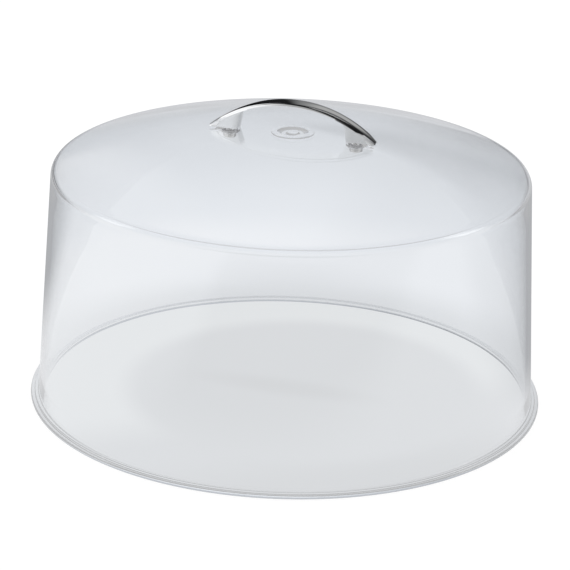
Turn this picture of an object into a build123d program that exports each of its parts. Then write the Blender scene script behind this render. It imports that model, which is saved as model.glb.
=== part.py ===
from build123d import *
import math
import os

# Clear round cover with a stepped rim and a crowned top, lifted by a chrome bow handle
# Millimetres, +Z up, origin at the centre of the rim's bottom plane, handle along X

# Shell
rim_radius = 152.4
crown_apex = 162.3
crown_sphere_radius = 455.0
shoulder_radius = 5.5
wall_draft = 3.25
wall_thickness = 3.0

# Rim flange, a thin lip outside a thicker ledge
lip_width = 2.4
lip_thickness = 1.7
lip_edge = 0.5
ledge_width = 2.0
ledge_thickness = 2.9
ledge_edge = 0.4
wall_root = 1.0

# Moulding mark at the middle of the top: a raised disc with a sunk ring around a low nub
disc_radius = 12.5
disc_rise = 0.35
disc_edge = 0.2
disc_land = 3.3
ring_depth = 0.9
ring_slope = 2.6
ring_floor = 2.4
nub_slope = 1.0
nub_height = 0.7

# Washers and screws
screw_spacing = 76.2
screw_radius = 2.0
screw_clearance = 0.3
screw_engagement = 5.0
screw_point = 0.5
washer_radius = 4.8
washer_thickness = 1.0
head_inset = 1.0
head_height = 2.4
head_edge = 0.8
recess_inset = 1.6
recess_width = 1.0
recess_depth = 1.4

# Flat seats moulded into the crown, one under each foot and one over each washer
seat_stand = 0.2
seat_margin = 0.3
seat_corner = 1.2
boss_stand = 0.2
boss_margin = 1.0

# Handle, an arched strap on two gusset feet
handle_height = 19.7
tip_reach = 12.1
tip_height = 0.8
strap_thickness = 1.9
strap_crown = 0.6
strap_middle_width = 11.6
strap_end_width = 7.6
strap_edge = 0.3
foot_reach = 5.0
foot_lean = 10.0
foot_root_inset = 1.4
foot_tip_inset = 0.5
foot_throat = 2.0
foot_edge = 0.4
bore_reserve = 1.0

os.makedirs("parts", exist_ok=True)

on_floor = (Align.CENTER, Align.CENTER, Align.MIN)
hung = (Align.CENTER, Align.CENTER, Align.MAX)
draft_tangent = math.tan(math.radians(wall_draft))
inner_apex = crown_apex - wall_thickness
inner_sphere_radius = crown_sphere_radius - wall_thickness


def crown_height(radius, apex, sphere_radius):
    """Height of the crown at a distance from the axis."""
    return apex - sphere_radius + math.sqrt(sphere_radius**2 - radius**2)


def bell_profile(foot_radius, apex, sphere_radius):
    """Half section of the solid under the drafted wall and the crown arc."""
    top_radius = foot_radius - apex * draft_tangent
    half = make_face(Polyline((0, 0), (foot_radius, 0), (top_radius, apex), (0, apex), close=True))
    return half & (Pos(0, apex - sphere_radius) * Circle(sphere_radius))


def shoulder_of(half):
    """Corner where the wall meets the crown."""
    return half.vertices().filter_by(lambda vertex: vertex.Y > 0).sort_by(Axis.X)[-1]


def flange(radius, thickness, edge):
    """Disc standing on the rim plane with its upper edge broken."""
    disc = Cylinder(radius, thickness, align=on_floor)
    return chamfer(disc.edges().filter_by(GeomType.CIRCLE).sort_by(Axis.Z)[-1], edge)


# Shell with its rim flange and the sloped root of the wall
ledge_radius = rim_radius - lip_width
foot_radius = ledge_radius - ledge_width
outer_profile = bell_profile(foot_radius, crown_apex, crown_sphere_radius)
outer_profile = fillet(shoulder_of(outer_profile), shoulder_radius)
shell = revolve(Plane.XZ * outer_profile, Axis.Z)
shell = shell + flange(rim_radius, lip_thickness, lip_edge)
shell = shell + flange(ledge_radius, ledge_thickness, ledge_edge)
root_radius = foot_radius - ledge_thickness * draft_tangent
shell = shell + Pos(0, 0, ledge_thickness) * Cone(
    root_radius + wall_root, root_radius - wall_root * draft_tangent, wall_root, align=on_floor
)

# Moulding mark
disc_top = crown_apex + disc_rise
ring_bottom = disc_top - ring_depth
ring_radius = disc_radius - disc_land
floor_radius = ring_radius - ring_slope
nub_foot_radius = floor_radius - ring_floor
nub_radius = nub_foot_radius - nub_slope
nub_top = ring_bottom + nub_height
shell = shell + Pos(0, 0, inner_apex) * flange(disc_radius, disc_top - inner_apex, disc_edge)
mark_space = make_face(
    Polyline(
        (0, nub_top),
        (nub_radius, nub_top),
        (nub_foot_radius, ring_bottom),
        (floor_radius, ring_bottom),
        (ring_radius, disc_top),
        (ring_radius, disc_top + ring_depth),
        (0, disc_top + ring_depth),
        close=True,
    )
)
shell = shell - revolve(Plane.XZ * mark_space, Axis.Z)

# Screw line, shared by the seats, the holes, the washers, the screws and the feet
screw_x = screw_spacing / 2
hole_radius = screw_radius + screw_clearance
foot_inner_x = screw_x - foot_reach
strap_reach = screw_x + tip_reach

# Plan of the handle, narrowed from the middle to its tips
half_middle = strap_middle_width / 2
half_end = strap_end_width / 2
plan_outline = make_face(
    [
        ThreePointArc((-strap_reach, -half_end), (0, -half_middle), (strap_reach, -half_end)),
        Line((strap_reach, -half_end), (strap_reach, half_end)),
        ThreePointArc((strap_reach, half_end), (0, half_middle), (-strap_reach, half_end)),
        Line((-strap_reach, half_end), (-strap_reach, -half_end)),
    ]
)

# Flat seats on the crown and flat bosses under it
seat_inner_x = foot_inner_x - seat_margin
seat_top = crown_height(seat_inner_x, crown_apex, crown_sphere_radius) + seat_stand
boss_radius = washer_radius + boss_margin
boss_face = crown_height(screw_x + boss_radius, inner_apex, inner_sphere_radius) - boss_stand
seat_plan = offset(plan_outline, seat_margin, kind=Kind.INTERSECTION)
seat_plan = seat_plan & (
    Pos(seat_inner_x, 0) * Rectangle(rim_radius, rim_radius, align=(Align.MIN, Align.CENTER))
)
seat_plan = fillet(seat_plan.vertices(), seat_corner)
seat = extrude(Pos(0, 0, boss_face) * seat_plan, seat_top - boss_face)
shell = shell + seat + mirror(seat, Plane.YZ)
inner_profile = bell_profile(foot_radius - wall_thickness, inner_apex, inner_sphere_radius)
inner_profile = chamfer(shoulder_of(inner_profile), shoulder_radius - wall_thickness)
hollow = revolve(Plane.XZ * inner_profile, Axis.Z)
boss = Cylinder(boss_radius, inner_apex - boss_face, align=on_floor)
hole = Cylinder(hole_radius, seat_top - boss_face, align=on_floor)
screw_line = [Pos(side * screw_x, 0, boss_face) for side in (-1, 1)]
for place in screw_line:
    hollow = hollow - place * boss
dome = shell - hollow
for place in screw_line:
    dome = dome - place * hole

# Arch of the handle, through its two tips and the middle of its top
strap_top = seat_top + handle_height
arch_rise = handle_height - tip_height
strap_outer_radius = (strap_reach**2 + arch_rise**2) / (2 * arch_rise)
strap_inner_radius = strap_outer_radius - strap_thickness
strap_center = strap_top - strap_outer_radius

# Handle strap, a crowned band turned about the arch's own centre
strap_bottom = strap_top - strap_thickness
strap_side_top = strap_top - strap_crown
strap_section = make_face(
    [
        Line((-half_middle, strap_bottom), (half_middle, strap_bottom)),
        Line((half_middle, strap_bottom), (half_middle, strap_side_top)),
        ThreePointArc((half_middle, strap_side_top), (0, strap_top), (-half_middle, strap_side_top)),
        Line((-half_middle, strap_side_top), (-half_middle, strap_bottom)),
    ]
)
arch_axis = Axis((0, 0, strap_center), (0, 1, 0))
arch_ring = revolve(Plane.YZ * strap_section, arch_axis)
strap = arch_ring & extrude(Pos(0, 0, seat_top) * plan_outline, handle_height)
long_edges = strap.edges().filter_by(lambda edge: edge.length > strap_reach)
strap = chamfer(long_edges, strap_edge)

# Gusset feet, filling the angle between the strap's ends and the seats
foot_top_x = foot_inner_x - handle_height * math.tan(math.radians(foot_lean))
foot_side = make_face(
    Polyline(
        (foot_inner_x, seat_top),
        (foot_top_x, strap_top),
        (strap_reach, strap_top),
        (strap_reach, seat_top),
        close=True,
    )
)
under_strap = Pos(0, strap_center) * Circle(strap_inner_radius)
strap_side = (Pos(0, strap_center) * Circle(strap_outer_radius)) - under_strap
throat_side = foot_side + strap_side
throat_height = strap_center + math.sqrt(strap_inner_radius**2 - foot_inner_x**2)
throat = throat_side.vertices().sort_by_distance((foot_inner_x, throat_height, 0))[0]
throat_side = fillet(throat, foot_throat)
foot_zone = Pos(strap_reach, seat_top) * Rectangle(
    strap_reach, handle_height, align=(Align.MAX, Align.MIN)
)
foot_side = throat_side & foot_zone & (
    Pos(0, strap_center) * Circle(strap_inner_radius + strap_thickness / 2)
)
foot_root_x = foot_top_x - foot_throat
half_root = half_middle - foot_root_inset
half_tip = half_end - foot_tip_inset
foot_plan = make_face(
    Polyline(
        (foot_root_x, -half_root),
        (strap_reach, -half_tip),
        (strap_reach, half_tip),
        (foot_root_x, half_root),
        close=True,
    )
)
foot = extrude(Plane.XZ * foot_side, half_middle, both=True)
foot = foot & extrude(Pos(0, 0, seat_top) * foot_plan, handle_height)
inner_corners = foot.edges().filter_by(GeomType.LINE).filter_by(
    lambda edge: edge.center().X < foot_inner_x and abs(edge.center().Y) > half_tip
)
foot = fillet(inner_corners, foot_edge)
bore = Cylinder(hole_radius, screw_engagement + bore_reserve, align=on_floor)
handle = strap + foot + mirror(foot, Plane.YZ)
for side in (-1, 1):
    handle = handle - Pos(side * screw_x, 0, seat_top) * bore

# Washers under the bosses
washer = Cylinder(washer_radius, washer_thickness, align=hung)
washer = washer - Cylinder(hole_radius, washer_thickness, align=hung)
washers = [place * washer for place in screw_line]

# Screws, heads down, shanks up into the feet
shank_length = washer_thickness + seat_top - boss_face + screw_engagement
shank = flange(screw_radius, shank_length, screw_point)
head_radius = washer_radius - head_inset
head = mirror(flange(head_radius, head_height, head_edge), Plane.XY)
recess_bar = Box(2 * (head_radius - recess_inset), recess_width, recess_depth, align=on_floor)
recess = Pos(0, 0, -head_height) * (recess_bar + Rot(0, 0, 90) * recess_bar)
screw = Pos(0, 0, -washer_thickness) * (shank + head - recess)
screws = [place * screw for place in screw_line]

export_step(dome, "parts/dome.step")
export_step(handle, "parts/handle.step")
export_step(Compound(children=washers), "parts/washers.step")
export_step(Compound(children=screws), "parts/screws.step")
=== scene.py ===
import math
import bpy
from mathutils import Matrix, Vector


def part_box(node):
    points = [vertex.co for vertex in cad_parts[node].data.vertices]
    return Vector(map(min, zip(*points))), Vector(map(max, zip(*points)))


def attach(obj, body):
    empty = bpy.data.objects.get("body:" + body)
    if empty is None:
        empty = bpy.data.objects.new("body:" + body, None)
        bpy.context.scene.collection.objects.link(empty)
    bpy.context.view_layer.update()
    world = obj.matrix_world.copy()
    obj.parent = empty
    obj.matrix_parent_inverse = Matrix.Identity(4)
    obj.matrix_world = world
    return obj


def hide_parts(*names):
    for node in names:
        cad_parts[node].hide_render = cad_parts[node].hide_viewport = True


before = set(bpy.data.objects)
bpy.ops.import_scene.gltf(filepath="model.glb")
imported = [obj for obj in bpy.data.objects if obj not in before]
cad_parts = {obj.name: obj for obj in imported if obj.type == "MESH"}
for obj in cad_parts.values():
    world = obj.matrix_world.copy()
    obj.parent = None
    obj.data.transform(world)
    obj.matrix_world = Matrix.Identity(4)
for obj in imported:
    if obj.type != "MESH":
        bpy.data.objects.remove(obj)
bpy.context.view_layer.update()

mm = 0.001
near = 0.01 * mm        # places nearer than this count as one
slack = 0.1 * mm        # room round a stretch in which vertices are picked
weld = 0.002 * mm       # vertices nearer than this are merged
overrun = 1.0 * mm      # how far a cutting tool runs past what it cuts
rounds = 30             # rounds of a sum that settles, many more than it needs


# Shader wiring

class Wire:
    # one shader value: sums, differences, products and quotients of it add Math nodes
    def __init__(self, graph, socket):
        self.graph = graph
        self.socket = socket

    def __add__(self, other):
        return self.graph.maths("ADD", self, other)

    def __radd__(self, other):
        return self.graph.maths("ADD", other, self)

    def __sub__(self, other):
        return self.graph.maths("SUBTRACT", self, other)

    def __rsub__(self, other):
        return self.graph.maths("SUBTRACT", other, self)

    def __mul__(self, other):
        return self.graph.maths("MULTIPLY", self, other)

    def __rmul__(self, other):
        return self.graph.maths("MULTIPLY", other, self)

    def __truediv__(self, other):
        return self.graph.maths("DIVIDE", self, other)

    def __rtruediv__(self, other):
        return self.graph.maths("DIVIDE", other, self)


class Graph:
    # the nodes of one material or of the world
    def __init__(self, tree):
        self.tree = tree
        tree.nodes.clear()

    def add(self, kind, settings=None, values=None, output=0):
        # one node: its settings, the values or links of its sockets, and the output that is read
        node = self.tree.nodes.new(kind)
        node.location = (-200 * len(self.tree.nodes), 0)
        for name, value in (settings or {}).items():
            setattr(node, name, value)
        for name, value in (values or {}).items():
            if isinstance(value, Wire):
                self.tree.links.new(value.socket, node.inputs[name])
            else:
                node.inputs[name].default_value = value
        return Wire(self, node.outputs[output]) if node.outputs else None

    def maths(self, operation, first, second=0):
        return self.add("ShaderNodeMath", {"operation": operation}, {0: first, 1: second})

    def length(self, vector):
        return self.add("ShaderNodeVectorMath", {"operation": "LENGTH"}, {0: vector}, 1)

    def parts(self, vector):
        # x, y and z
        node = self.add("ShaderNodeSeparateXYZ", {}, {0: vector}).socket.node
        return [Wire(self, output) for output in node.outputs]

    def noise(self, place, scale, detail, roughness=0.5):
        values = {"Vector": place, "Scale": scale, "Detail": detail, "Roughness": roughness}
        return self.add("ShaderNodeTexNoise", {}, values)

    def step(self, value, low, high):
        # 0 below low, 1 above high, eased between
        return self.add("ShaderNodeMapRange", {"interpolation_type": "SMOOTHSTEP"},
                        {"Value": value, "From Min": low, "From Max": high})

    def fade(self, value, low, high):
        # 1 below low, 0 above high, eased between
        return 1 - self.step(value, low, high)

    def band(self, value, low, high, soft):
        # 1 between low and high, with soft ends
        return self.step(value, low - soft, low + soft) * self.fade(value, high - soft, high + soft)

    def blend(self, factor, first, second):
        return self.add("ShaderNodeMix", {"data_type": "RGBA"}, {0: factor, 6: first, 7: second}, 2)


def newMaterial(name):
    material = bpy.data.materials.new(name)
    material.use_nodes = True
    return material, Graph(material.node_tree)


def grey(value):
    return (value, value, value, 1)


# Modelling

def evenly(first, last, count):
    # evenly spaced values, both ends among them
    return [first + (last - first) * k / (count - 1) for k in range(count)]


def clearSelection():
    if bpy.context.object and bpy.context.object.mode != "OBJECT":
        bpy.ops.object.mode_set(mode="OBJECT")
    bpy.ops.object.select_all(action="DESELECT")


def takeUp(piece):
    clearSelection()
    piece.select_set(True)
    bpy.context.view_layer.objects.active = piece


def applyPlace():
    bpy.ops.object.transform_apply(location=True, rotation=True, scale=True)


def pick(kind, test):
    # selects vertices, edges or faces of the piece in hand by their place
    bpy.ops.object.mode_set(mode="OBJECT")
    mesh = bpy.context.object.data
    for group in (mesh.vertices, mesh.edges, mesh.polygons):
        group.foreach_set("select", [False] * len(group))
    if kind == "VERT":
        for vertex in mesh.vertices:
            vertex.select = test(vertex.co)
    elif kind == "EDGE":
        for edge in mesh.edges:
            edge.select = test(*[mesh.vertices[i].co for i in edge.vertices])
    else:
        for face in mesh.polygons:
            face.select = test(face.center, face.normal)
    # the mode is set first, because vertex mode would add every edge between the picked ones' ends
    bpy.context.tool_settings.mesh_select_mode = [kind == each for each in ("VERT", "EDGE", "FACE")]
    bpy.ops.object.mode_set(mode="EDIT")


def selectAll():
    bpy.ops.mesh.select_all(action="SELECT")


def shift(move):
    bpy.ops.transform.translate(value=move)


def stretch(scale, centre=(0, 0, 0)):
    bpy.ops.transform.resize(value=scale, center_override=centre)


def turn(angle, axis, centre=(0, 0, 0)):
    bpy.ops.transform.rotate(value=angle, orient_axis=axis, center_override=centre)


def extrudeBy(move):
    bpy.ops.mesh.extrude_region_move(TRANSFORM_OT_translate={"value": move})


def drawOutline(points):
    # a small plane drawn together into one vertex, which is then extruded from point to point
    clearSelection()
    bpy.ops.mesh.primitive_plane_add(size=mm, location=points[0])
    applyPlace()
    bpy.ops.object.mode_set(mode="EDIT")
    bpy.ops.mesh.select_mode(type="VERT")
    selectAll()
    bpy.ops.mesh.merge(type="CENTER")
    for before, after in zip(points, points[1:]):
        move = Vector(after) - Vector(before)
        bpy.ops.mesh.extrude_vertices_move(TRANSFORM_OT_translate={"value": move})


def roundCorner(place, offset, segments):
    target = Vector(place)
    pick("VERT", lambda point: (point - target).length < near)
    bpy.ops.mesh.bevel(offset=offset, segments=segments, affect="VERTICES", profile=0.5)


def smooth(angle=30):
    bpy.ops.object.shade_smooth_by_angle(angle=math.radians(angle))


def closeSkin(angle=30):
    selectAll()
    bpy.ops.mesh.remove_doubles(threshold=weld)
    bpy.ops.mesh.normals_make_consistent(inside=False)
    bpy.ops.object.mode_set(mode="OBJECT")
    smooth(angle)


def makeBlock(lengths, middle):
    clearSelection()
    bpy.ops.mesh.primitive_cube_add(size=1)
    block = bpy.context.object
    block.scale = lengths
    block.location = middle
    applyPlace()
    return block


def makeRod(x, radius, low, high, sides=48):
    clearSelection()
    bpy.ops.mesh.primitive_cylinder_add(vertices=sides, radius=radius, depth=high - low,
                                        location=(x, 0, (low + high) / 2))
    applyPlace()
    return bpy.context.object


def cut(piece, tool, operation):
    takeUp(piece)
    modifier = piece.modifiers.new("cut", "BOOLEAN")
    modifier.object = tool
    modifier.operation = operation
    modifier.solver = "EXACT"
    bpy.ops.object.modifier_apply(modifier="cut")
    bpy.data.objects.remove(tool)


def joined(pieces):
    takeUp(pieces[0])
    for piece in pieces:
        piece.select_set(True)
    bpy.ops.object.join()
    return bpy.context.object


def finishPiece(piece, name, node, material):
    piece.name = name
    piece.data.name = name
    piece.data.materials.clear()
    piece.data.materials.append(material)
    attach(piece, "root")
    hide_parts(node)


# Dome

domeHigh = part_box("dome")[1]
handleLow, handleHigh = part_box("handle")
washerLow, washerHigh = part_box("washers")
screwLow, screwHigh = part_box("screws")
screwX = 38.1 * mm

domeSizes = {
    "rimRadius": domeHigh.x,
    "lipWidth": 2.4 * mm,
    "lipThickness": 1.7 * mm,
    "lipEdge": 0.7 * mm,
    "lipFoot": 0.35 * mm,
    "ledgeWidth": 2.0 * mm,
    "ledgeThickness": 2.9 * mm,
    "ledgeEdge": 0.4 * mm,
    "ledgeFoot": 0.35 * mm,
    "wallRoot": 0.7 * mm,
    "innerEdge": 0.4 * mm,
    "wallThickness": 3.0 * mm,
    "wallDraft": 3.25,
    "crownApex": 162.3 * mm,
    "crownSphere": 455 * mm,
    "shoulderRadius": 5.5 * mm,
    "innerShoulder": 2.5 * mm,
    "crownEnd": 6 * mm,         # how far from the shoulder the rings of crown and wall end
    "wallEnd": 8 * mm,
    "innerCrownEnd": 4 * mm,
    "innerWallEnd": 6 * mm,
    "crownRings": 20,
    "wallRings": 12,
    "sectors": 288,
    "smoothAngle": 35,
    "bossRadius": 5.8 * mm,
    "bossHeight": 2.4 * mm,
    "holeRadius": 2.3 * mm,
}
markSizes = {
    "discRadius": 12.5 * mm,
    "discRise": 0.35 * mm,
    "land": 3.3 * mm,
    "depth": 0.9 * mm,
    "slope": 2.6 * mm,
    "floor": 2.4 * mm,
    "nubSlope": 1.0 * mm,
    "nubHeight": 0.7 * mm,
    "edge": 0.18 * mm,
    "corner": 0.25 * mm,
}
seatSizes = {
    "inner": 33.6 * mm,
    "outer": 45 * mm,
    "half": 2.9 * mm,
    "depth": 1.8 * mm,
    "flare": 2.2 * mm,
    "corner": 1.2 * mm,
}
plasticFinish = {
    "clear": (0.955, 0.965, 0.975, 1),
    "clearest": (0.975, 0.98, 0.985, 1),
    "flowScale": 9.0,
    "flowDetail": 2.0,
    "flowRoughness": 0.4,
    "rippleStrength": 0.02,
    "rippleHeight": 0.02,
    "refraction": 1.49,
    "caughtAfter": 2.5,
    "caughtLight": (0.46, 0.462, 0.468, 1),
}


def crownHeight(radius, inset=0):
    sphere = domeSizes["crownSphere"] - inset
    return domeSizes["crownApex"] - inset - sphere + math.sqrt(sphere ** 2 - radius ** 2)


def shoulderPoint(footRadius, inset):
    # where the drafted wall meets the crown
    lean = math.tan(math.radians(domeSizes["wallDraft"]))
    radius = footRadius
    for _ in range(rounds):
        radius = footRadius - crownHeight(radius, inset) * lean
    return radius, crownHeight(radius, inset)


def domeSection():
    # half section as (radius, height, rounding): the mark, the crown, the wall, the rim, and back up inside
    size, mark = domeSizes, markSizes
    lean = math.tan(math.radians(size["wallDraft"]))
    discTop = size["crownApex"] + mark["discRise"]
    ringBottom = discTop - mark["depth"]
    ringRadius = mark["discRadius"] - mark["land"]
    floorRadius = ringRadius - mark["slope"]
    nubFoot = floorRadius - mark["floor"]
    nubTop = ringBottom + mark["nubHeight"]
    section = [
        (0, nubTop, 0),
        (nubFoot - mark["nubSlope"], nubTop, mark["edge"]),
        (nubFoot, ringBottom, mark["corner"]),
        (floorRadius, ringBottom, mark["corner"]),
        (ringRadius, discTop, mark["edge"]),
        (mark["discRadius"], discTop, mark["edge"]),
        (mark["discRadius"], crownHeight(mark["discRadius"]), 0),
    ]

    ledgeRadius = size["rimRadius"] - size["lipWidth"]
    footRadius = ledgeRadius - size["ledgeWidth"]
    shoulderRadius, shoulderHeight = shoulderPoint(footRadius, 0)
    bend = math.radians(90 - size["wallDraft"]) - math.asin(shoulderRadius / size["crownSphere"])
    rounding = math.tan(bend / 2)       # a bevel's offset for a radius of 1
    for radius in evenly(mark["discRadius"], shoulderRadius - size["crownEnd"], size["crownRings"])[1:]:
        section.append((radius, crownHeight(radius), 0))
    section.append((shoulderRadius, shoulderHeight, size["shoulderRadius"] * rounding))
    for height in evenly(shoulderHeight - size["wallEnd"], size["ledgeThickness"], size["wallRings"])[1:-1]:
        section.append((footRadius - height * lean, height, 0))

    innerFoot = footRadius - size["wallThickness"]
    section += [
        (footRadius - size["ledgeThickness"] * lean, size["ledgeThickness"], size["wallRoot"]),
        (ledgeRadius, size["ledgeThickness"], size["ledgeEdge"]),
        (ledgeRadius, size["lipThickness"], size["ledgeFoot"]),
        (size["rimRadius"], size["lipThickness"], size["lipEdge"]),
        (size["rimRadius"], 0, size["lipFoot"]),
        (innerFoot, 0, size["innerEdge"]),
    ]

    innerRadius, innerHeight = shoulderPoint(innerFoot, size["wallThickness"])
    for height in evenly(0, innerHeight - size["innerWallEnd"], size["wallRings"])[1:]:
        section.append((innerFoot - height * lean, height, 0))
    section.append((innerRadius, innerHeight, size["innerShoulder"] * rounding))
    for radius in evenly(innerRadius - size["innerCrownEnd"], 0, size["crownRings"]):
        section.append((radius, crownHeight(radius, size["wallThickness"]), 0))
    return section


def makeDome():
    section = domeSection()
    drawOutline([(radius, 0, height) for radius, height, rounding in section])
    for radius, height, rounding in section:
        if rounding:
            roundCorner((radius, 0, height), rounding, 8 if rounding > mm else 4)
    selectAll()
    bpy.ops.mesh.spin(steps=domeSizes["sectors"], angle=2 * math.pi, center=(0, 0, 0), axis=(0, 0, 1))
    closeSkin(domeSizes["smoothAngle"])
    return bpy.context.object


def makeSeat(side):
    # low mound with a flat top and sloping sides, which a foot stands on
    size = seatSizes
    low = handleLow.z - size["depth"]
    length = size["outer"] - size["inner"]
    middle = side * (size["outer"] + size["inner"]) / 2
    piece = makeBlock((length, 2 * size["half"], size["depth"]), (middle, 0, (handleLow.z + low) / 2))
    pick("EDGE", lambda start, end: abs(start.z - end.z) > mm)
    bpy.ops.mesh.bevel(offset=size["corner"], segments=5)
    pick("VERT", lambda point: point.z < low + near)
    stretch((1 + 2 * size["flare"] / length, 1 + size["flare"] / size["half"], 1), (middle, 0, low))
    closeSkin()
    return piece


def plasticMaterial():
    finish = plasticFinish
    material, graph = newMaterial("clearStyrene")
    place = graph.add("ShaderNodeTexCoord", output="Object")
    flow = graph.noise(place, finish["flowScale"], finish["flowDetail"], finish["flowRoughness"])
    ripple = graph.add("ShaderNodeBump", {}, {
        "Strength": finish["rippleStrength"], "Distance": finish["rippleHeight"], "Height": flow})
    clear = graph.add("ShaderNodeBsdfPrincipled", {}, {
        "Base Color": graph.blend(flow, finish["clear"], finish["clearest"]), "Normal": ripple,
        "Roughness": 0.0, "IOR": finish["refraction"], "Transmission Weight": 1.0})
    # light mirrored on and on inside the sheet leaves it grey, where the renderer would end it black
    mirrorings = graph.add("ShaderNodeLightPath", output="Glossy Depth")
    caught = graph.maths("GREATER_THAN", mirrorings, finish["caughtAfter"])
    glow = graph.add("ShaderNodeEmission", {}, {"Color": finish["caughtLight"], "Strength": 1.0})
    shader = graph.add("ShaderNodeMixShader", {}, {0: caught, 1: clear, 2: glow})
    graph.add("ShaderNodeOutputMaterial", {}, {"Surface": shader})
    return material


dome = makeDome()
for side in (-1, 1):
    bossTop = washerHigh.z + domeSizes["bossHeight"]
    cut(dome, makeSeat(side), "UNION")
    cut(dome, makeRod(side * screwX, domeSizes["bossRadius"], washerHigh.z, bossTop), "UNION")
    hole = makeRod(side * screwX, domeSizes["holeRadius"], washerHigh.z - overrun, handleLow.z + overrun)
    cut(dome, hole, "DIFFERENCE")
takeUp(dome)
smooth(domeSizes["smoothAngle"])
finishPiece(dome, "clearDome", "dome", plasticMaterial())
print("dome made", len(dome.data.polygons))


# Handle

handleSizes = {
    "reach": handleHigh.x,
    "top": handleHigh.z,
    "seat": handleLow.z,
    "tipHeight": 0.8 * mm,
    "thickness": 1.9 * mm,
    "crown": 0.35 * mm,
    "sideLean": 0.4 * mm,
    "halfMiddle": handleHigh.y,
    "halfEnd": 3.8 * mm,
    "tipStart": 40 * mm,
    "tipNarrowing": 1.6 * mm,
    "edge": 0.7 * mm,
    "lowerEdge": 0.22 * mm,
    "strips": 10,
    "arcSteps": 96,
    "arcSpare": 2 * mm,
    "strapLift": 0.02 * mm,
    "footInner": screwX - 5 * mm,
    "footOuter": 46 * mm,
    "footLean": 10,
    "footRoot": 5 * mm,
    "footEdge": 0.4 * mm,
    "footLift": 0.01 * mm,
    "throat": 2.0 * mm,
    "halfRoot": 4.4 * mm,
    "halfTip": 3.1 * mm,
    "footPoints": 9,
    "toeInner": 42.6 * mm,
    "toeSlant": 3.4 * mm,
    "toeLeast": 0.4 * mm,
    "toeSplay": 0.45 * mm,
    "toeInset": 0.02 * mm,
    "toeTops": 7,
    "toeBottoms": 5,
    "boreRadius": 2.3 * mm,
    "boreDepth": 6 * mm,
}
chromeFinish = {
    "dark": (0.86, 0.87, 0.88, 1),
    "light": (0.9, 0.905, 0.91, 1),
    "cloudScale": 60.0,
    "grainScale": 900.0,
    "grainStrength": 0.02,
    "grainHeight": 0.2 * mm,
    "roughness": 0.035,
    "grainRoughness": 0.02,
}
rise = handleSizes["top"] - handleSizes["seat"] - handleSizes["tipHeight"]
archRadius = (handleSizes["reach"] ** 2 + rise ** 2) / (2 * rise)
archCentre = Vector((0, 0, handleSizes["top"] - archRadius))


def archAngle(point):
    return math.atan2(point.x, point.z - archCentre.z)


def archHeight(x, inset):
    # height of the arch at x, that far under the strap's top
    return archCentre.z + math.sqrt((archRadius - inset) ** 2 - x ** 2)


def halfWidth(x):
    # the strap narrows from its middle, and faster at its tips
    size = handleSizes
    beyond = max(0, abs(x) - size["tipStart"]) / (size["reach"] - size["tipStart"])
    narrowing = (size["halfMiddle"] - size["halfEnd"]) * (x / size["reach"]) ** 2
    return size["halfMiddle"] - narrowing - size["tipNarrowing"] * beyond ** 2


def onStrapEdge(point, upper):
    # tells if a vertex is on one of the strap's two upper, or two lower, long edges
    size = handleSizes
    share = 1 - size["sideLean"] / size["halfMiddle"] if upper else 1
    middle = archRadius - (size["crown"] + size["thickness"]) / 2
    level = (point - archCentre).xz.length > middle
    return level == upper and abs(abs(point.y) - share * halfWidth(point.x)) < 3 * near


def makeStrap():
    # the section in the middle, crowned along its top, turned to one end and spun about the arch's centre
    size = handleSizes
    flank = size["thickness"] - size["crown"]
    flankTop = size["top"] - size["crown"]
    halfTop = size["halfMiddle"] - size["sideLean"]
    clearSelection()
    bpy.ops.mesh.primitive_grid_add(x_subdivisions=size["strips"], y_subdivisions=1, size=1)
    piece = bpy.context.object
    bpy.ops.object.mode_set(mode="EDIT")
    selectAll()
    stretch((2 * size["halfMiddle"], flank, 1))
    turn(math.pi / 2, "X")
    turn(math.pi / 2, "Z")
    shift((0, 0, flankTop - flank / 2))
    pick("VERT", lambda point: point.z > flankTop - near)
    stretch((1, halfTop / size["halfMiddle"], 1))
    for y in evenly(-halfTop, halfTop, size["strips"] + 1)[1:-1]:
        pick("VERT", lambda point: abs(point.y - y) < near and point.z > flankTop - near)
        shift((0, 0, size["crown"] * (1 - (y / size["halfMiddle"]) ** 2)))
    selectAll()
    half = math.asin((size["reach"] + size["arcSpare"]) / archRadius)
    turn(half, "Y", archCentre)
    bpy.ops.object.mode_set(mode="OBJECT")
    sweep = -2 * half if piece.data.vertices[0].co.x < 0 else 2 * half
    bpy.ops.object.mode_set(mode="EDIT")
    bpy.ops.mesh.spin(steps=size["arcSteps"], angle=sweep, center=archCentre, axis=(0, 1, 0))
    for angle in evenly(-half, half, size["arcSteps"] + 1):
        pick("VERT", lambda point: abs(archAngle(point) - angle) < near / archRadius)
        stretch((1, halfWidth(archRadius * math.sin(angle)) / size["halfMiddle"], 1))
    for upper, offset, segments in ((True, size["edge"], 7), (False, size["lowerEdge"], 3)):
        pick("EDGE", lambda start, end: onStrapEdge(start, upper) and onStrapEdge(end, upper)
             and abs(start.x - end.x) > 3 * slack)
        bpy.ops.mesh.bevel(offset=offset, segments=segments)
    # trimmed at both tips and just over the seats
    trims = [((side * size["reach"], 0, 0), (side, 0, 0)) for side in (1, -1)]
    trims.append(((0, 0, size["seat"] + size["strapLift"]), (0, 0, -1)))
    for place, way in trims:
        selectAll()
        bpy.ops.mesh.bisect(plane_co=place, plane_no=way, use_fill=True, clear_outer=True,
                            threshold=0.001 * mm)
    closeSkin()
    return piece


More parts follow.
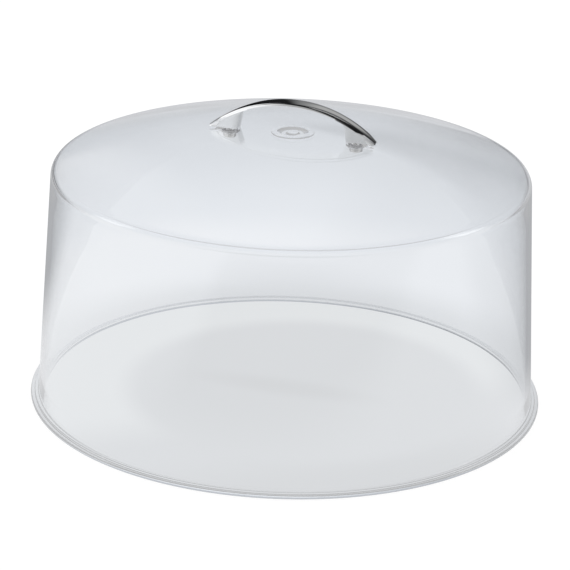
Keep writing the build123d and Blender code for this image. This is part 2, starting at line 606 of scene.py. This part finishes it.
def makeFoot(side):
    # leaning gusset that ends inside the strap, narrowed outwards, with a rounded throat
    size = handleSizes
    lean = math.tan(math.radians(size["footLean"]))
    throatX = size["footInner"]
    for _ in range(rounds):
        throatZ = archHeight(throatX, size["thickness"])
        throatX = size["footInner"] - (throatZ - size["seat"]) * lean
    root = throatX - size["footRoot"]
    under = size["seat"] + size["footLift"]
    outer = evenly(root, size["footOuter"], size["footPoints"])
    outline = [(size["footInner"], under), (throatX, throatZ), (root, archHeight(root, size["thickness"]))]
    outline += [(x, archHeight(x, size["thickness"] / 2)) for x in outer]
    outline.append((size["footOuter"], under))
    outline = [(side * x, -size["halfRoot"], z) for x, z in outline]
    drawOutline(outline)
    piece = bpy.context.object
    selectAll()
    bpy.ops.mesh.edge_face_add()
    roundCorner(outline[1], size["throat"], 6)
    selectAll()
    extrudeBy((0, 2 * size["halfRoot"], 0))
    bpy.ops.object.mode_set(mode="OBJECT")
    for station in sorted({round(abs(vertex.co.x), 6) for vertex in piece.data.vertices}):
        share = (station - root) / (size["footOuter"] - root)
        pick("VERT", lambda point: abs(abs(point.x) - station) < weld)
        stretch((1, 1 - share * (1 - size["halfTip"] / size["halfRoot"]), 1))
    selectAll()
    bpy.ops.mesh.normals_make_consistent(inside=False)

    # the edges beside the leaning inner face and its throat, and none that runs across it
    def besideInnerFace(point):
        inward = throatX - 1.5 * size["throat"] < abs(point.x) < size["footInner"] + slack
        return inward and point.z < throatZ + slack and abs(point.y) > mm

    pick("EDGE", lambda start, end: besideInnerFace(start) and besideInnerFace(end)
         and start.y * end.y > 0)
    bpy.ops.mesh.bevel(offset=size["footEdge"], segments=3, clamp_overlap=True)
    closeSkin()
    return piece


def makeToe(side):
    # solid end of the strap: a slanting inner face, and sides that splay downwards towards the tip
    size = handleSizes
    tops = evenly(size["toeInner"], size["reach"], size["toeTops"])
    bottoms = evenly(size["toeInner"] + size["toeSlant"], size["reach"], size["toeBottoms"])
    least = size["seat"] + size["toeLeast"]
    outline = [(bottoms[0], size["seat"])]
    outline += [(x, max(least, archHeight(x, size["thickness"] / 2))) for x in tops]
    outline += [(x, size["seat"]) for x in reversed(bottoms[1:])]
    drawOutline([(side * x, -mm, z) for x, z in outline])
    selectAll()
    bpy.ops.mesh.edge_face_add()
    extrudeBy((0, 2 * mm, 0))
    for row, lower in ((tops, False), (bottoms, True)):
        for x in row:
            share = (x - size["toeInner"]) / (size["reach"] - size["toeInner"])
            splay = size["toeSplay"] * share if lower else -size["toeInset"]
            pick("VERT", lambda point: abs(abs(point.x) - x) < near
                 and (point.z < size["seat"] + slack) == lower)
            stretch((1, (halfWidth(x) + splay) / mm, 1))
    closeSkin()
    return bpy.context.object


def chromeMaterial():
    finish = chromeFinish
    material, graph = newMaterial("chromePlate")
    place = graph.add("ShaderNodeTexCoord", output="Object")
    grain = graph.noise(place, finish["grainScale"], 3.0)
    cloud = graph.noise(place, finish["cloudScale"], 2.0)
    relief = graph.add("ShaderNodeBump", {}, {
        "Strength": finish["grainStrength"], "Distance": finish["grainHeight"], "Height": grain})
    shader = graph.add("ShaderNodeBsdfPrincipled", {}, {
        "Base Color": graph.blend(cloud, finish["dark"], finish["light"]), "Normal": relief,
        "Roughness": finish["roughness"] + finish["grainRoughness"] * grain, "Metallic": 1.0})
    graph.add("ShaderNodeOutputMaterial", {}, {"Surface": shader})
    return material


handle = makeStrap()
for side in (-1, 1):
    cut(handle, makeFoot(side), "UNION")
    cut(handle, makeToe(side), "UNION")
for side in (-1, 1):
    bore = makeRod(side * screwX, handleSizes["boreRadius"],
                   handleLow.z - overrun, handleLow.z + handleSizes["boreDepth"])
    cut(handle, bore, "DIFFERENCE")
takeUp(handle)
smooth()
finishPiece(handle, "bowHandle", "handle", chromeMaterial())
print("handle made", len(handle.data.polygons))


# Washers and screws

fixingSizes = {
    "washerRadius": 4.8 * mm,
    "washerHole": 2.3 * mm,
    "washerEdge": 0.15 * mm,
    "headRadius": 3.8 * mm,
    "headEdge": 0.9 * mm,
    "shankRadius": 2.0 * mm,
    "shankEnd": 0.75,
    "threadPitch": 0.7 * mm,
    "threadDepth": 0.22 * mm,
    "recessLength": 4.4 * mm,
    "recessWidth": 1.0 * mm,
    "recessDepth": 1.4 * mm,
    "recessTaper": 0.7,
    "sides": 96,
}
steelFinish = {
    "zincSteel": ((0.8, 0.8, 0.81, 1), (0.88, 0.88, 0.89, 1)),
    "nickelSteel": ((0.8, 0.79, 0.77, 1), (0.88, 0.87, 0.85, 1)),
    "cloudScale": 150.0,
    "streakScale": 1400.0,
    "streakStrength": 0.08,
    "streakHeight": 0.2 * mm,
    "roughness": 0.22,
    "streakRoughness": 0.14,
}


def makeWasher(side):
    size = fixingSizes
    clearSelection()
    bpy.ops.mesh.primitive_circle_add(vertices=size["sides"], radius=size["washerHole"], fill_type="NOTHING",
                                      location=(side * screwX, 0, washerLow.z))
    applyPlace()
    bpy.ops.object.mode_set(mode="EDIT")
    selectAll()
    extrudeBy((0, 0, 0))
    scale = size["washerRadius"] / size["washerHole"]
    stretch((scale, scale, 1), (side * screwX, 0, 0))
    selectAll()
    extrudeBy((0, 0, washerHigh.z - washerLow.z))
    selectAll()
    bpy.ops.mesh.normals_make_consistent(inside=False)
    bpy.ops.mesh.select_all(action="DESELECT")
    bpy.ops.mesh.select_mode(type="EDGE")
    bpy.ops.mesh.edges_select_sharp(sharpness=math.radians(50))
    bpy.ops.mesh.bevel(offset=size["washerEdge"], segments=3)
    closeSkin()
    return bpy.context.object


def makeScrew(side):
    # head down, with the shank raised from it half a pitch at a time, in and out, for the thread
    size = fixingSizes
    x = side * screwX
    screw = makeRod(x, size["headRadius"], screwLow.z, washerLow.z, size["sides"])
    pick("EDGE", lambda start, end: max(start.z, end.z) < screwLow.z + near)
    bpy.ops.mesh.bevel(offset=size["headEdge"], segments=6)
    pick("FACE", lambda centre, normal: normal.z > 0.9)
    bpy.ops.mesh.inset(thickness=size["headRadius"] - size["shankRadius"])
    narrow = 1 - size["threadDepth"] / size["shankRadius"]
    height = washerLow.z
    wide = True
    while height < screwHigh.z - size["threadPitch"]:
        extrudeBy((0, 0, size["threadPitch"] / 2))
        scale = narrow if wide else 1 / narrow
        stretch((scale, scale, 1), (x, 0, 0))
        wide = not wide
        height += size["threadPitch"] / 2
    extrudeBy((0, 0, screwHigh.z - height))
    stretch((size["shankEnd"], size["shankEnd"], 1), (x, 0, 0))
    closeSkin()
    arms = (size["recessLength"], size["recessWidth"])
    for lengthX, lengthY in (arms, arms[::-1]):
        bar = makeBlock((lengthX, lengthY, 2 * size["recessDepth"]), (x, 0, screwLow.z))
        pick("FACE", lambda centre, normal: normal.z > 0.9)
        stretch((size["recessTaper"], size["recessTaper"], 1), (x, 0, 0))
        bpy.ops.object.mode_set(mode="OBJECT")
        cut(screw, bar, "DIFFERENCE")
    takeUp(screw)
    smooth()
    return screw


def steelMaterial(name):
    finish = steelFinish
    dark, light = finish[name]
    material, graph = newMaterial(name)
    place = graph.add("ShaderNodeTexCoord", output="Object")
    streak = graph.noise(place, finish["streakScale"], 4.0)
    cloud = graph.noise(place, finish["cloudScale"], 2.0)
    relief = graph.add("ShaderNodeBump", {}, {
        "Strength": finish["streakStrength"], "Distance": finish["streakHeight"], "Height": streak})
    shader = graph.add("ShaderNodeBsdfPrincipled", {}, {
        "Base Color": graph.blend(cloud, dark, light), "Normal": relief,
        "Roughness": finish["roughness"] + finish["streakRoughness"] * streak, "Metallic": 1.0})
    graph.add("ShaderNodeOutputMaterial", {}, {"Surface": shader})
    return material


washers = joined([makeWasher(side) for side in (-1, 1)])
finishPiece(washers, "steelWashers", "washers", steelMaterial("zincSteel"))
screws = joined([makeScrew(side) for side in (-1, 1)])
finishPiece(screws, "steelScrews", "screws", steelMaterial("nickelSteel"))
print("washers and screws made")


# Stage: a pale sheet, what the room shows to each kind of ray, and the camera

oftenMirrored = (0.76, 0.77, 0.785, 1)      # seen after two mirrorings or more
floorValues = {
    "size": 12.0,
    "drop": 0.4 * mm,
    # tones of the sheet under the dome: its painted shadow, a ring of painted light and a deeper painted
    # shade
    "under": (0.738, 0.75, 0.765, 1),
    "underLight": (0.81, 0.825, 0.835, 1),
    "underShade": (0.70, 0.71, 0.722, 1),
    "ringCentre": (0.010, 0.008, 0),
    "ringEdge": (0.096, 0.118),
    "lightAway": (-0.06, 0.0),
    "darkAway": (-0.135, -0.07),
    "dipPlace": (0.0, -0.34, 0),
    "dipTurn": (0, 0, -0.12),
    "dipScale": (17, 70, 1),
    "dipEdge": (0.2, 1.3),
    "dipShare": 0.8,
    # tones of the sheet round the dome: painted shadow near the rim, lighter further out, a little darker
    # far out, and painted light to the left
    "behindShadow": (0.745, 0.757, 0.775, 1),
    "behindMiddle": (0.895, 0.908, 0.932, 1),
    "behindFar": (0.84, 0.86, 0.89, 1),
    "middleEdge": (0.150, 0.215),
    "farEdge": (0.26, 0.34),
    "leftEdge": (0.05, 0.17),
    "leftShare": 0.3,
    "rimEdge": (0.1465, 0.1505),
    "front": (0.86, 0.87, 0.89, 1),
    "frontRight": (0.45, 0.455, 0.46, 1),
    "frontRightEdge": (-0.19, -0.1),
    "frontNearEdge": (-0.32, -0.16),
    "back": (0.42, 0.43, 0.45, 1),
    "backFar": (0.66, 0.67, 0.695, 1),
    "backFarEdge": (0.42, 0.8),
    "skirting": (0.05, 0.05, 0.055, 1),
    "skirtingEdge": (0.9, 1.3),
    "skirtingLeft": (0, 0.2),
    "roomEdge": (0.0, 0.12),
    "mirroredRimEdge": (0.145, 0.152),
    "softLight": 0.8,
    "plain": 0.86,
    "paint": 0.22,
}


def rayKinds(graph):
    # camera rays, sharp ones, soft ones, ones mirrored at least once, and ones mirrored again and again
    rays = graph.add("ShaderNodeLightPath").socket.node
    camera = Wire(graph, rays.outputs["Is Camera Ray"])
    sharp = Wire(graph, rays.outputs["Is Singular Ray"])
    glossy = Wire(graph, rays.outputs["Is Glossy Ray"])
    mirrorings = Wire(graph, rays.outputs["Glossy Depth"])
    soft = (1 - sharp) * (1 - glossy)
    mirrored = graph.maths("MINIMUM", mirrorings, 1)
    often = graph.maths("GREATER_THAN", mirrorings, 1.5)
    return camera, sharp, soft, mirrored, often


def makeFloor():
    values = floorValues
    clearSelection()
    bpy.ops.mesh.primitive_plane_add(size=values["size"], location=(0, 0, -values["drop"]))
    floor = bpy.context.object
    floor.name = "floor"
    material, graph = newMaterial("paleSweep")
    step, fade, blend = graph.step, graph.fade, graph.blend
    camera, _, soft, mirrored, often = rayKinds(graph)
    place = graph.add("ShaderNodeTexCoord", output="Object")
    x, y = graph.parts(place)[:2]
    reach = graph.length(place)

    # seen through the plastic: the sheet under the dome in the dome's painted shadow, with a painted lit
    # ring and painted shade, and the sheet round it with painted shadow near the rim
    centred = {0: place, 1: values["ringCentre"]}
    fromRing = graph.add("ShaderNodeVectorMath", {"operation": "SUBTRACT"}, centred)
    ring = step(graph.length(fromRing), *values["ringEdge"])
    away = y * 0.8 - x * 0.6        # distance towards the back left
    # painted light and shade: the ring is lighter towards the back left and darker towards the front right
    under = blend(ring * step(away, *values["lightAway"]), values["under"], values["underLight"])
    under = blend(ring * fade(away, *values["darkAway"]), under, values["underShade"])
    # painted shade: a long darker patch across the middle under the dome
    dip = graph.add("ShaderNodeMapping", {}, {
        "Vector": place, "Location": values["dipPlace"], "Rotation": values["dipTurn"],
        "Scale": values["dipScale"]})
    dipShade = fade(graph.length(dip), *values["dipEdge"]) * values["dipShare"]
    under = blend(dipShade, under, values["underShade"])
    # painted shadow of the dome near its rim, fading out, painted light to the left, and a little darker far
    # out
    behind = blend(step(reach, *values["middleEdge"]), values["behindShadow"], values["behindMiddle"])
    behind = blend(step(0 - x, *values["leftEdge"]) * values["leftShare"], behind, grey(1.0))
    behind = blend(step(reach, *values["farEdge"]), behind, values["behindFar"])
    through = blend(step(reach, *values["rimEdge"]), under, behind)

    # mirrored in the plastic and the chrome: the sheet in front and the room behind
    front = blend(step(x, *values["frontRightEdge"]), values["front"], values["frontRight"])
    front = blend(step(y, *values["frontNearEdge"]), front, values["front"])
    back = blend(step(reach, *values["backFarEdge"]), values["back"], values["backFar"])
    # a dark skirting far behind draws the line along the back of the chrome's left end
    skirting = step(reach, *values["skirtingEdge"]) * step(0 - x - y * 0.5, *values["skirtingLeft"])
    back = blend(skirting, back, values["skirting"])
    room = blend(step(y, *values["roomEdge"]), front, back)
    room = blend(often, room, oftenMirrored)
    # within the rim, reflections show the sheet under the dome with its painted shadow
    room = blend(step(reach, *values["mirroredRimEdge"]), under, room)

    tone = blend(mirrored, through, room)
    tone = blend(soft, tone, grey(values["softLight"]))
    tone = blend(camera, tone, grey(values["plain"]))
    glow = graph.add("ShaderNodeEmission", {}, {"Color": tone, "Strength": 1.0})
    # only the camera sees the paint, which takes the shadow
    paint = graph.add("ShaderNodeBsdfDiffuse", {}, {"Color": grey(values["paint"])})
    black = graph.add("ShaderNodeBsdfDiffuse", {}, {"Color": grey(0)})
    lit = graph.add("ShaderNodeMixShader", {}, {0: camera, 1: black, 2: paint})
    surface = graph.add("ShaderNodeAddShader", {}, {0: glow, 1: lit})
    graph.add("ShaderNodeOutputMaterial", {}, {"Surface": surface})
    floor.data.materials.append(material)


# The studio's places are in degrees: azimuth from straight behind, positive to the right, and height over
# the horizon. A pair says where a tone starts to change and where it has changed, and three numbers are the
# low end of a band, its high end and the softness of both.
plasticRoom = {
    "low": (0.6, 0.61, 0.63, 1),
    "middle": (0.53, 0.55, 0.585, 1),
    "high": (1.0, 1.02, 1.07, 1),
    "middleHeight": (-4, 6),
    "highHeight": (25, 56),
    "behindRight": (80, 150),       # where the tones of the right fade out, behind the camera
    "behindLeft": (-150, -80),
    "right": (0.1, 0.105, 0.12, 1),
    "rightStart": (-15, -3),
    "rightHeight": (6, 14),
    "rightShare": 0.3,
    "wedge": (0.03, 0.035, 0.045, 1),
    "wedgeSlope": 0.9,
    "wedgeTop": (26.5, 31),
    "wedgeHeight": (8, 16),
    "wedgeStart": (-20, -12),
    "wedgeWeaker": (-4, 4),
    "wedgeLoss": 0.75,
    "wedgeShare": 0.6,
    "farLeft": (1.0, 1.0, 1.02, 1),
    "farLeftEnd": (-32, -25),
    "farLeftHeight": (8, 16),
    "farLeftShare": 0.55,
    "backRight": (0.2, 0.2, 0.21, 1),
    "backRightStart": (-14, -6),
    "backRightHeight": (8, 14),
    "backRightShare": 0.55,
    "box": 2.4,
    "leftBox": (-106, -88, 3),
    "rightBox": (56, 74, 3),
    "boxHeight": (20, 45, 3),
}
chromeRoom = {
    "card": (0.012, 0.012, 0.013, 1),
    "wallLeft": (0.2, 0.202, 0.205, 1),
    "wallRight": (0.05, 0.051, 0.053, 1),
    "wallStart": (-18.5, -13.5),
    "wallRightStart": (-8, 18),
    "strip": (0.42, 0.42, 0.415, 1),
    "stripHeight": (16.5, 28.5, 2.5),
    "stripStart": (-15, -6),
    "stripEnd": (8, 22),
    "wallTop": (0.014, 0.014, 0.015, 1),
    "wallTopHeight": (29, 33),
    "windowSill": (0.35, 0.35, 0.36, 1),
    "sillHeight": (35, 38, 1.5),
    "window": 1.3,
    "windowWidth": (-9, 20, 4),
    "windowHeight": (40.5, 50, 1.5),
    "tent": 1.1,
    "tentEnd": (-35, -30),
    "tentLow": (5, 10),
    "tentTop": (50, 58),
    "frontDark": (0.008, 0.008, 0.009, 1),
    "frontGrey": 0.42,
    "frontGreyStart": (-0.1, 0.2),
    "frontLight": 1.1,
    "frontLightStart": (0.28, 0.5),
    "frontTop": 0.02,
    "frontTopHeight": (35, 60),
    "frontStart": (-0.02, 0.05),
}
studioTones = {
    "straightThrough": (0.815, 0.82, 0.835, 1),
    "softLight": 0.9,
    "plain": 1,
}


def plasticTone(graph, azimuth, height):
    # a dim room and a tent that brightens upwards, with a darker right side and wedge, and two soft boxes
    values = plasticRoom
    step, fade, band, blend = graph.step, graph.fade, graph.band, graph.blend
    tone = blend(step(height, *values["middleHeight"]), values["low"], values["middle"])
    tone = blend(step(height, *values["highHeight"]), tone, values["high"])
    endRight = fade(azimuth, *values["behindRight"])
    right = step(azimuth, *values["rightStart"]) * endRight
    tone = blend(right * values["rightShare"] * step(height, *values["rightHeight"]), tone, values["right"])
    wedge = fade(height - azimuth * values["wedgeSlope"], *values["wedgeTop"])
    wedge = wedge * step(height, *values["wedgeHeight"]) * step(azimuth, *values["wedgeStart"])
    wedge = wedge * (1 - step(azimuth, *values["wedgeWeaker"]) * values["wedgeLoss"]) * endRight
    tone = blend(wedge * values["wedgeShare"], tone, values["wedge"])
    farLeft = fade(azimuth, *values["farLeftEnd"]) * step(azimuth, *values["behindLeft"])
    farLeft = farLeft * step(height, *values["farLeftHeight"]) * values["farLeftShare"]
    tone = blend(farLeft, tone, values["farLeft"])
    backRight = step(azimuth, *values["backRightStart"]) * endRight
    backRight = backRight * fade(height, *values["backRightHeight"]) * values["backRightShare"]
    tone = blend(backRight, tone, values["backRight"])
    boxes = band(azimuth, *values["leftBox"]) + band(azimuth, *values["rightBox"])
    return blend(boxes * band(height, *values["boxHeight"]), tone, grey(values["box"]))


def chromeTone(graph, x, y, z, azimuth, height):
    values = chromeRoom
    step, fade, band, blend = graph.step, graph.fade, graph.band, graph.blend
    # behind: a black card, a white tent to its left, a wall with a bright strip and a window to its right
    wall = blend(step(azimuth, *values["wallRightStart"]), values["wallLeft"], values["wallRight"])
    strip = band(height, *values["stripHeight"]) * step(azimuth, *values["stripStart"])
    wall = blend(strip * fade(azimuth, *values["stripEnd"]), wall, values["strip"])
    wall = blend(step(height, *values["wallTopHeight"]), wall, values["wallTop"])
    window = band(azimuth, *values["windowWidth"])
    wall = blend(window * band(height, *values["sillHeight"]), wall, values["windowSill"])
    wall = blend(window * band(height, *values["windowHeight"]), wall, grey(values["window"]))
    back = blend(step(azimuth, *values["wallStart"]), values["card"], wall)
    tent = fade(height, *values["tentTop"]) * step(height, *values["tentLow"])
    back = blend(fade(azimuth, *values["tentEnd"]) * tent, back, grey(values["tent"]))
    # on the camera's side: dark to the right, bright to the left, with edges that lean inwards as they rise
    square = z * z
    left = 0 - x / (1.0001 - square) * (1.0001 - square * 0.5)      # a little over 1, so the zenith is safe
    front = blend(step(left, *values["frontGreyStart"]), values["frontDark"], grey(values["frontGrey"]))
    front = blend(step(left, *values["frontLightStart"]), front, grey(values["frontLight"]))
    front = blend(step(height, *values["frontTopHeight"]), front, grey(values["frontTop"]))
    return blend(step(0 - y, *values["frontStart"]), back, front)


def makeStudio():
    world = bpy.data.worlds.new("studio")
    bpy.context.scene.world = world
    world.use_nodes = True
    graph = Graph(world.node_tree)
    camera, sharp, soft, mirrored, often = rayKinds(graph)
    x, y, z = graph.parts(graph.add("ShaderNodeTexCoord", output="Generated"))
    degrees = 180 / math.pi
    azimuth = graph.maths("ARCTAN2", x, y) * degrees
    height = graph.maths("ARCSINE", z) * degrees
    inPlastic = graph.blend(often, plasticTone(graph, azimuth, height), oftenMirrored)
    tone = graph.blend(sharp, chromeTone(graph, x, y, z, azimuth, height), inPlastic)
    tone = graph.blend(mirrored, studioTones["straightThrough"], tone)
    tone = graph.blend(soft, tone, grey(studioTones["softLight"]))
    tone = graph.blend(camera, tone, grey(studioTones["plain"]))
    background = graph.add("ShaderNodeBackground", {}, {"Color": tone, "Strength": 1.0})
    graph.add("ShaderNodeOutputWorld", {}, {"Surface": background})


viewValues = {
    "focal": 162.08,
    "sensor": 36,
    "target": Vector((0, 0, 0.070)),
    "distance": 1.5233,
    "azimuth": 16.1,
    "elevation": 20.95,
    "roll": 1.78,
    "shift": (-0.00563, -0.0076),
    "clipEnd": 50,
}


def makeCamera():
    view = viewValues
    azimuth = math.radians(view["azimuth"])
    elevation = math.radians(view["elevation"])
    level = math.cos(elevation)
    back = Vector((math.sin(azimuth) * level, -math.cos(azimuth) * level, math.sin(elevation)))
    data = bpy.data.cameras.new("viewpoint")
    data.lens = view["focal"]
    data.sensor_width = view["sensor"]
    data.shift_x, data.shift_y = view["shift"]
    data.clip_end = view["clipEnd"]
    camera = bpy.data.objects.new("viewpoint", data)
    bpy.context.scene.collection.objects.link(camera)
    camera.location = view["target"] + back * view["distance"]
    aim = back.to_track_quat("Z", "Y").to_matrix().to_4x4()
    camera.rotation_euler = (aim @ Matrix.Rotation(math.radians(view["roll"]), 4, "Z")).to_euler()
    bpy.context.scene.camera = camera


makeFloor()
makeStudio()
makeCamera()
bpy.context.scene.view_settings.view_transform = "Standard"
print("stage and camera set")
